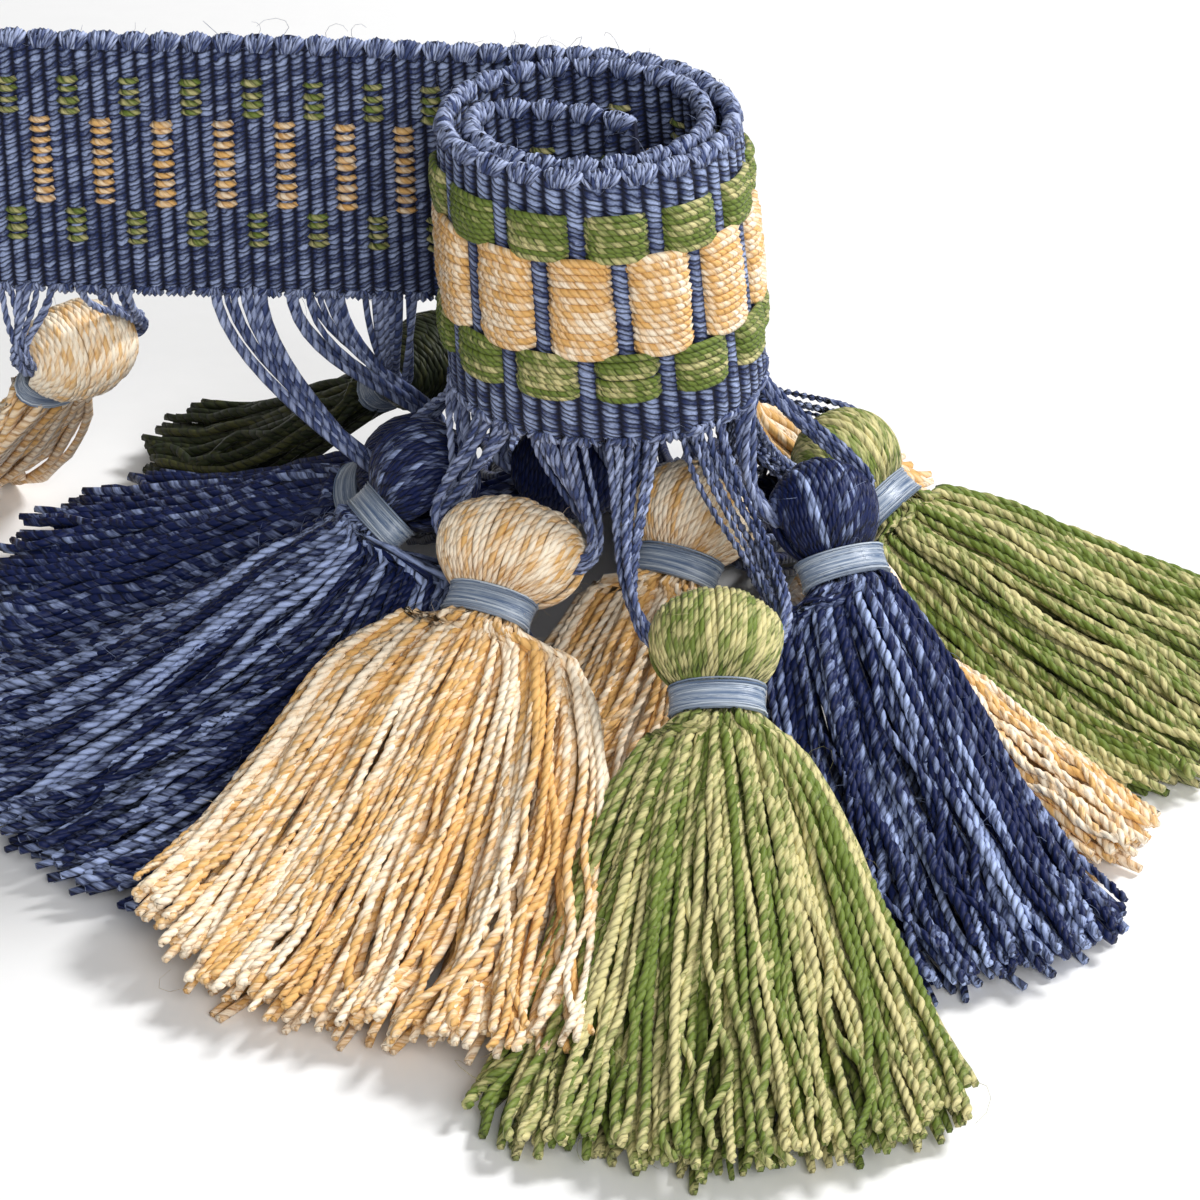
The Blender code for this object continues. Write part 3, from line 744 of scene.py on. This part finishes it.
def skirt_layer(tassel, chance, count, height, steps, sides, yarn_dye, lobes=0.0):
    """One layer of skirt yarns. A yarn comes up between its neighbours where the fan has opened
    wide enough for it: its order is less than the fan's width as a share of its end width. The
    yarns draw together into locks, with dark gaps between them, and a few cross the others."""
    _, _, mean_tone, pale_tone, change, pale_share = yarn_dye
    width = tassel.end_half_width
    across = (np.arange(count) + 0.5) / count * 2 - 1
    across = (across + chance.normal(0, 0.3, count) / count)[:, None]
    end = 1.0 + 0.03 * chance.normal(size=count).clip(-1.8, 1.8) - 0.03 * (1 - height)
    share = np.linspace(0.0, 1.0, steps)[None, :] * end[:, None]
    broad = soft_waves(chance, across, share, 4, 2.4, 1.2)
    locks = soft_waves(chance, across, share, 4, width / 3.0, 0.9)
    spread = across + 0.05 * broad + 1.0 / width * locks
    own_turn = 2 * np.pi * (share * chance.uniform(0.8, 3.6, (count, 1)) + chance.random((count, 1)))
    own_sway = chance.normal(0, 0.42, (count, 1)) + 0.9 * (chance.random((count, 1)) < 0.2)
    spread = spread + own_sway * np.sin(own_turn) * share**0.5 / width
    stray = chance.normal(0, 1.0, (count, 1)) * (chance.random((count, 1)) < 0.3)
    spread = spread + stray * 2.0 * smooth_step(0.55, 1.05, share) / width
    spread = spread.clip(-1.06, 1.06)
    order = halved_order(count)[:, None]
    wide = tassel.half_width(share) / width
    hidden = smooth_step(0.0, 0.14, order - 1.15 * wide)
    level = height + 0.09 * soft_waves(chance, across, share, 4, 3.0, 1.4) + 0.10 * locks
    level = level + 0.06 * chance.normal(size=(count, 1)) + 0.025 * np.sin(own_turn * 1.7)
    level = level - hidden * 0.15 - 0.12 * (chance.random((count, 1)) < 0.15) * (height > 0.9)
    keys = tassel.skirt(share, spread, level.clip(0.0, 1.1))
    oval_wide, oval_deep = np.sqrt(1 - 0.4 * (2 * height - 1) ** 2), np.sqrt(1 - 0.4 * across**2)
    side_at = (across * oval_wide)[..., None] * tassel.side
    lift_at = ((2 * level[:, :1] - 1) * oval_deep)[..., None] * tassel.lift
    neck = [
        tassel.head + tassel.down * below + side_at * wide_at + lift_at * deep_at
        for below, wide_at, deep_at in NECK_OVALS
    ]
    opening = smooth_step(0.0, 0.06, share)[..., None]
    root = tassel.root + tassel.down * (tassel.run * share)[..., None]
    root = root + side_at * ROOT_HALF_WIDTH + lift_at * (ROOT_HALF_DEPTH - 0.3 * YARN_RADIUS)
    keys = root * (1 - opening) + keys * opening
    paths = np.concatenate([*neck, keys], axis=1)
    paths[..., 2] = np.maximum(paths[..., 2], YARN_RADIUS)
    s = np.linspace(0.0, 1.0, paths.shape[1])[None, :]
    thick = YARN_RADIUS * (1 + 0.09 * chance.normal(size=(count, 1)))
    radii = thick * (1 + 0.07 * np.sin(2 * np.pi * (s * 9 + chance.random((count, 1)))))
    radii = radii * (1 + 0.15 * smooth_step(0.96, 1.0, s))
    radii[:, -1] *= 0.7
    radii[:, : len(NECK_OVALS)] *= 0.8
    own = chance.random((count, 1))
    pale = smooth_step(-0.06, 0.06, own - 1 + pale_share)
    tone = mean_tone + pale_tone * (pale - pale_share) + 0.25 * (chance.random((count, 1)) - 0.5)
    tone = tone + change * soft_waves(chance, across, s, 5, 3.0, 2.2) + 0.1 * smooth_step(0.94, 1.0, s)
    # Painted shade: lower layers are painted darker because they lie under the top layer, and every yarn
    # is painted darker by the neck
    painted_shade = 0.35 * (1 - height) + 0.2 * (1 - smooth_step(0.0, 0.12, s))
    dye = (tone, own, painted_shade)
    guide = np.cross(unit(np.gradient(paths, axis=1)), tassel.side)
    turn = YARN_TURN * chance.uniform(0.88, 1.15, (count, 1))
    return tubes(paths, radii, sides, guide, turn, chance.random(count), dye, lobes)


def head_layer(tassel, chance, count, depth_share, steps, sides, yarn_dye):
    """Yarns of the head, which is a ball drawn out along the cords. Over the crown each yarn is
    half a round about the cords, smaller towards the ball's two ends as a circle's chords are.
    From there it runs down to the neck on each side as a meridian, in the way that an ellipse
    closes."""
    _, _, mean_tone, pale_tone, change, pale_share = yarn_dye
    place = np.sin(((np.arange(count) + 0.5) / count * 2 - 1) * 1.4)[:, None]
    place = (place + chance.normal(0, 0.12, (count, 1)) / count).clip(-0.985, 0.985)
    s = np.linspace(-1.0, 1.0, steps)[None, :]
    angle = s.clip(-HEAD_CROWN, HEAD_CROWN) / HEAD_CROWN * 0.5 * np.pi
    down_neck = NECK_FROM_HEAD * (np.abs(s).clip(HEAD_CROWN, 1.0) - HEAD_CROWN) / (1 - HEAD_CROWN)
    size = np.sqrt(1 - place**2)
    deep = (HEAD_HALF_DEPTH - YARN_RADIUS) * depth_share * (1 + 0.015 * chance.normal(size=(count, 1)))
    wide = (tassel.head_half_width - YARN_RADIUS) * depth_share
    forward = down_neck - np.cos(angle) * deep * size
    closing = np.sqrt(1 - (down_neck / HEAD_CLOSES_ACROSS) ** 2)
    sway = 0.03 * soft_waves(chance, place, s, 3, 1.5, 1.0)
    across = (place + sway) * wide * closing
    rise = np.sin(angle) * deep * size * np.sqrt(1 - (down_neck / HEAD_CLOSES_THROUGH) ** 2)
    paths = tassel.about_head(forward, across, rise)
    own = chance.random((count, 1))
    pale = smooth_step(-0.2, 0.2, own - 1 + pale_share)
    # Painted light and shade: a head's tone is spread apart from its skirt's, so pale dyes are painted
    # paler and dark dyes darker
    tone = 2.67 * mean_tone - 0.6 + 0.35 * pale_tone * (pale - pale_share)
    tone = tone + 0.6 * change * soft_waves(chance, place, s, 4, 2.6, 1.2) + 0.3 * (own - 0.5)
    gather = smooth_step(0.6, 1.0, np.abs(s))
    # Painted shade: the yarns are painted darker where they gather to the neck
    dye = (tone, own, 0.4 * gather)
    radii = HEAD_YARN_RADIUS * (1 + 0.06 * chance.normal(size=(count, 1))) * (1 - 0.3 * gather)
    return tubes(paths, radii, sides, tassel.side, HEAD_YARN_TURN, chance.random(count), dye)


# Steps of the top layer, of the layer below it and of the head, and how deep the top layer sinks
# between its plies. All the others have their plies as relief
NEAR = (92, 22, 34, YARN_LOBES)
MIDDLE = (74, 18, 28, YARN_LOBES)
SHORT = (50, 12, 22, YARN_LOBES)
FAR = (24, 10, 16, 0.0)
LOW_STEPS = 12
LOW_HEAD_STEPS = 14
HEAD_YARNS, LOW_HEAD_YARNS = 30, 16
FINENESS = {
    "front_green": NEAR, "front_gold": NEAR, "right_navy": NEAR, "left_navy": MIDDLE,
    "right_green": MIDDLE, "inner_gold": SHORT, "side_gold": SHORT, "tail_gold": SHORT,
}
# How close the yarns of the hindmost tassels lie, as a share of the others'
CLOSENESS = {"tail_green": 0.9, "tail_navy": 0.85, "inner_navy": 0.55, "rear_gold": 0.8}

tassel_frames = {}
for number, (name, row) in enumerate(TASSELS.items()):
    laps = LAPS.get(name, (PLAIN_SIDE, PLAIN_SIDE))
    tassel = Tassel(row, laps, HEAD_HALF_WIDTHS.get(name, HEAD_HALF_WIDTH))
    tassel_frames[name] = tassel
    chance = np.random.default_rng(100 + number)
    yarn_dye = DYES[DYED_APART.get(name, name.split("_")[-1])]
    steps, under_steps, head_steps, lobes = FINENESS.get(name, FAR)
    wide = tassel.end_half_width * (tassel.laps[0][1] + tassel.laps[1][1])
    count = int(round(wide / YARN_SPACING * CLOSENESS.get(name, 1.0)))
    bundles = [
        skirt_layer(tassel, chance, count, 1.0, steps, 6, yarn_dye, lobes),
        skirt_layer(tassel, chance, int(count * 0.95), 0.76, under_steps, 5, yarn_dye),
        skirt_layer(tassel, chance, int(count * 0.7), 0.48, LOW_STEPS, 5, yarn_dye),
        skirt_layer(tassel, chance, int(count * 0.75), 0.1, LOW_STEPS, 5, yarn_dye),
        head_layer(tassel, chance, HEAD_YARNS, 1.0, head_steps, 6, yarn_dye),
        head_layer(tassel, chance, LOW_HEAD_YARNS, 0.88, LOW_HEAD_STEPS, 5, yarn_dye),
    ]
    make_piece("yarn_" + name, *gathered(bundles), yarn_dye[0], yarn_dye[1], ["tassel_" + name])

# The bindings: a fine silky thread of steel blue, wound many times round each neck and
# pulled tight, its turns lying close and a little crossed.

BINDING_TURNS = 15
BINDING_FROM, BINDING_TO = 4.7, 7.5
BINDING_HALF_WIDTH, BINDING_HALF_DEPTH = 4.34, 2.46
THREAD_RADIUS = 0.115
THREAD_TURN = 40.0
# Steps to a turn
THREAD_STEPS = 20
# The layer of turns below is a closed sleeve: how far down the neck and how far inside its
# half width and half depth each edge of its section lies
SLEEVE_SIDES = 40
SLEEVE_HALF_WIDTH, SLEEVE_HALF_DEPTH = 4.4, 2.52
SLEEVE = np.array([(4.7, 0.45), (4.65, 0.1), (4.85, -0.02), (7.35, -0.02), (7.55, 0.1), (7.5, 0.45)])


def silky_thread():
    """Filaments lie round the neck as fine streaks, and their shine is broad and soft.
    The streaks run from steel blue to a near white, which is painted sheen.
    """
    material, start, shader = new_cloth("steel blue silk thread", 0.35, 0.1)
    around, along, _ = start.lay()
    tone, own, _ = start.dye()
    streaks = start.mottle(start.joined(around * 9.0, along * 0.15, own * 40.0), 4.0)
    share = streaks * 1.3 + tone - 0.75
    # Painted sheen: the pale end of the streaks is near white
    colour = start.blend(share.between(0.0, 1.0), dyed(78, 100, 132), dyed(226, 234, 240))
    dress(material, shader, colour, streaks * 0.3 + 0.22, streaks, 0.00006)
    shader.inputs["Specular IOR Level"].default_value = 0.6
    return material


silk = silky_thread()
around = np.arange(SLEEVE_SIDES) / SLEEVE_SIDES * 2 * np.pi
index = np.arange(len(SLEEVE) * SLEEVE_SIDES).reshape(len(SLEEVE), SLEEVE_SIDES)
sleeve_faces = wall_faces(np.vstack([index, index[:1]]))
sleeve_lay = abreast(sleeve_faces // SLEEVE_SIDES * 1.0, sleeve_faces % SLEEVE_SIDES * 0.7)
sleeve_dye = np.full((index.size, 3), 0.4)

for number, (name, tassel) in enumerate(tassel_frames.items()):
    chance = np.random.default_rng(300 + number)
    turn = np.linspace(0.0, BINDING_TURNS, BINDING_TURNS * THREAD_STEPS + 1)[None, :]
    slant = 0.12 * np.sin(2 * np.pi * (turn * 0.31 + chance.random())) * np.sin(2 * np.pi * turn)
    distance = BINDING_FROM + (BINDING_TO - BINDING_FROM) * turn / BINDING_TURNS + slant
    flare = 0.22 * ((turn / BINDING_TURNS * 2 - 1) ** 2) + 0.03 * np.sin(turn * 2.3)
    wide, deep = BINDING_HALF_WIDTH + flare, BINDING_HALF_DEPTH + flare
    round_neck = 2 * np.pi * turn
    thread_path = tassel.about_head(distance, wide * np.cos(round_neck), deep * np.sin(round_neck))
    tone = 0.45 + 0.16 * np.sin(turn * 1.7 + chance.random() * 6) + 0.1 * np.sin(turn * 9.1)
    radii = np.full((1, 1), THREAD_RADIUS)
    dye = (tone, 0.5, 0.0)
    winding = tubes(thread_path, radii, 4, tassel.down, THREAD_TURN, np.zeros(1), dye)
    wide, deep = SLEEVE_HALF_WIDTH - SLEEVE[:, 1:], SLEEVE_HALF_DEPTH - SLEEVE[:, 1:]
    sleeve_points = tassel.about_head(SLEEVE[:, :1], wide * np.cos(around), deep * np.sin(around))
    under = (sleeve_points.reshape(-1, 3), [sleeve_faces], [sleeve_lay], sleeve_dye)
    make_piece(
        "thread_" + name, *gathered([winding, under]), silk, "binding_thread", ["binding_" + name]
    )

# The cord loops: eight blue two-ply cords leave the band's lower edge side by side, run
# together down to the head, pass through its fold and go up to the edge again.

CORDS_PER_LOOP = 8
CORD_RADIUS = 0.38
CORD_TURN = 2.2
CORD_LOBES = 0.32
# Along the band: from a loop's middle to each of its legs, and from a leg to its outer cords
LEG_FROM_MIDDLE = 3.78
LEG_HALF_SPREAD = 2.9
NEAR_LEG_STEPS, FAR_LEG_STEPS = 32, 16


def leg(tassel, run, sign, steps, chance):
    """One leg as a cubic with two holds: straight down from the edge, then in from the side."""
    number = np.arange(CORDS_PER_LOOP)
    fan = ((number + 0.5) / CORDS_PER_LOOP * 2 - 1) * LEG_HALF_SPREAD
    top_run = np.clip(run + fan + chance.normal(0, 0.2, CORDS_PER_LOOP), 0.4, edge_run[-1] - 0.4)
    top = band_place(top_run, np.full(CORDS_PER_LOOP, 0.03), chance.normal(0, 0.3, CORDS_PER_LOOP))
    side_point = tassel.head + tassel.side * (sign * (tassel.head_half_width - 0.9))
    round_bundle = 2 * np.pi * (number / CORDS_PER_LOOP + chance.random())
    bundle = np.cos(round_bundle)[:, None] * tassel.down + np.sin(round_bundle)[:, None] * tassel.lift
    end = side_point + bundle * 0.7
    drop = np.linalg.norm(top.mean(axis=0) - side_point)
    hold_top = top - np.array([0.0, 0.0, 0.4 * drop]) + bundle * 0.3
    hold_side = end + tassel.side * (sign * 4.2) - tassel.down * (0.12 * drop + 1.2) + bundle * 0.5
    hold_top = hold_top + chance.normal(0, 0.5, (CORDS_PER_LOOP, 3))
    hold_side = hold_side + chance.normal(0, 0.45, (CORDS_PER_LOOP, 3))
    t = np.linspace(0.0, 1.0, steps)[None, :, None]
    path = top[:, None] * (1 - t) ** 3 + hold_top[:, None] * (3 * t * (1 - t) ** 2)
    return path + hold_side[:, None] * (3 * t * t * (1 - t)) + end[:, None] * t**3


for number, (name, tassel) in enumerate(tassel_frames.items()):
    chance = np.random.default_rng(500 + number)
    legs_at = tassel.hung_at + np.array([-LEG_FROM_MIDDLE, LEG_FROM_MIDDLE])
    first_place, last_place = band_place(legs_at, np.zeros(2), np.zeros(2))
    sign = 1.0 if np.dot(first_place - last_place, tassel.side) > 0 else -1.0
    leg_steps, lobes = (NEAR_LEG_STEPS, CORD_LOBES) if name in FINENESS else (FAR_LEG_STEPS, 0.0)
    first = leg(tassel, legs_at[0], sign, leg_steps, chance)
    last = leg(tassel, legs_at[1], -sign, leg_steps, chance)[:, ::-1]
    through = tassel.head + tassel.side * np.linspace(4.0, -4.0, 4)[:, None] * sign
    through = through + 0.6 * chance.normal(size=(CORDS_PER_LOOP, 1, 3)).clip(-1, 1)
    paths = np.concatenate([first, through, last], axis=1)
    s = np.linspace(0, 1, paths.shape[1])[None, :]
    own = chance.random((CORDS_PER_LOOP, 1))
    tone = 0.42 + 0.4 * (own - 0.5) + 0.35 * soft_waves(chance, own * 3, s, 4, 1.0, 4.0)
    dye = (tone, own, 0.0)
    radii = CORD_RADIUS * (1 + 0.08 * chance.normal(size=(CORDS_PER_LOOP, 1)))
    phase = chance.random(CORDS_PER_LOOP)
    loop = tubes(paths, radii, 6, tassel.out, CORD_TURN, phase, dye, lobes)
    make_piece("cords_" + name, *loop, blue_cord, "loop_cord", ["loop_" + name])

# The fuzz: short fine fibres that work loose from the yarns and stand off them in curls.
# They are given to the four tassels in front and to the band's edges, where they show most.

# Piece that the fibres stand on, its yarn, and how many there are
FUZZY = {
    "yarn_front_green": (green_yarn, "green_yarn", 240),
    "yarn_front_gold": (gold_yarn, "gold_yarn", 240),
    "yarn_left_navy": (navy_yarn, "navy_yarn", 180),
    "yarn_right_navy": (navy_yarn, "navy_yarn", 140),
    "heading_edge_turns": (blue_cord, "band_weave", 260),
}
FIBRE_RADIUS = 0.028
FIBRE_STEPS = 6
FIBRE_CURL = 0.6
FIBRE_TURN = 50.0

for number, (name, (material, slot_name, count)) in enumerate(FUZZY.items()):
    chance = np.random.default_rng(700 + number)
    mesh = bpy.data.objects[name].data
    places, normals = np.empty((2, len(mesh.vertices) * 3))
    mesh.vertices.foreach_get("co", places)
    mesh.vertex_normals.foreach_get("vector", normals)
    chosen = chance.integers(0, len(mesh.vertices), count)
    start = places.reshape(-1, 3)[chosen] * 1000 + PART_MIDDLE
    stand = unit(normals.reshape(-1, 3)[chosen] + chance.normal(0, 0.6, (count, 3)))
    lean = unit(np.cross(stand, chance.normal(size=(count, 3))))
    reach = 0.6 + 3.0 * chance.random((count, 1, 1)) ** 2
    t = np.linspace(0.0, 1.0, FIBRE_STEPS)[None, :, None]
    bend = chance.uniform(1.0, 4.0, (count, 1, 1)) * t
    paths = start[:, None] + reach * FIBRE_CURL * np.sin(bend) * stand[:, None]
    paths = paths + reach * FIBRE_CURL * (1 - np.cos(bend)) * lean[:, None]
    paths[..., 2] = np.maximum(paths[..., 2], 0.05)
    radii = FIBRE_RADIUS * (1 - 0.5 * t[..., 0])
    dye = (0.75, chance.random((count, 1)), 0.0)
    fibres = tubes(paths, radii, 3, lean[:, None], FIBRE_TURN, np.full(count, 0.1), dye)
    make_piece("fuzz_" + name.split("_", 1)[1], *fibres, material, slot_name)

# The setting: a plain white sweep, broad soft light from above and the right, and a camera
# that looks down on the fringe from its front.

sweep = bpy.data.meshes.new("white_sweep")
sweep.from_pydata([(-6, -6, 0), (6, -6, 0), (6, 6, 0), (-6, 6, 0)], [], [(0, 1, 2, 3)])
paper = bpy.data.materials.new("white paper")
paper.use_nodes = True
paper_tree = Strand(paper.node_tree)
grain = paper_tree.mottle(paper_tree.node("ShaderNodeTexCoord", None, None, 3), 3.0, 300.0)
paper_colour = paper_tree.blend(grain, (0.9, 0.9, 0.9, 1.0), (0.93, 0.93, 0.93, 1.0))
paper_shader = paper.node_tree.nodes["Principled BSDF"]
paper.node_tree.links.new(paper_colour.socket, paper_shader.inputs["Base Color"])
paper_shader.inputs["Roughness"].default_value = 0.9
sweep.materials.append(paper)
floor = placed("white_sweep", sweep)

# Place in metres, size in metres and power in watts of each soft box, all aimed at the roll
SOFT_BOXES = {
    "key_light": ((0.58, 0.2, 0.66), 0.25, 7.5),
    "front_light": ((0.25, -0.9, 0.6), 0.6, 7.4),
}
for name, (place, size, power) in SOFT_BOXES.items():
    lamp = bpy.data.lights.new(name, "AREA")
    lamp.shape = "DISK"
    lamp.size = size
    lamp.energy = power
    box = placed(name, lamp)
    box.location = place
    aim = np.array([0.0, 0.0, 0.02]) - np.array(place)
    level_turn = math.atan2(aim[1], aim[0]) - math.pi / 2
    tilt = math.atan2(math.hypot(aim[0], aim[1]), -aim[2])
    box.rotation_euler = (tilt, 0.0, level_turn)

world = bpy.data.worlds.new("white studio")
world.use_nodes = True
backdrop = world.node_tree.nodes["Background"]
backdrop.inputs["Color"].default_value = (1.0, 1.0, 1.0, 1.0)
backdrop.inputs["Strength"].default_value = 0.24
bpy.context.scene.world = world
bpy.context.scene.view_settings.view_transform = "Standard"

camera_data = bpy.data.cameras.new("front_view")
camera_data.lens = 153.0
camera_data.sensor_width = 36.0
camera_data.clip_start = 0.05
camera_data.clip_end = 20.0
camera = placed("front_view", camera_data)
camera.location = (np.array([-0.7, -433.0, 262.7]) - PART_MIDDLE) * 0.001
camera.rotation_euler = (math.radians(60.0), 0.0, 0.0)
bpy.context.scene.camera = camera
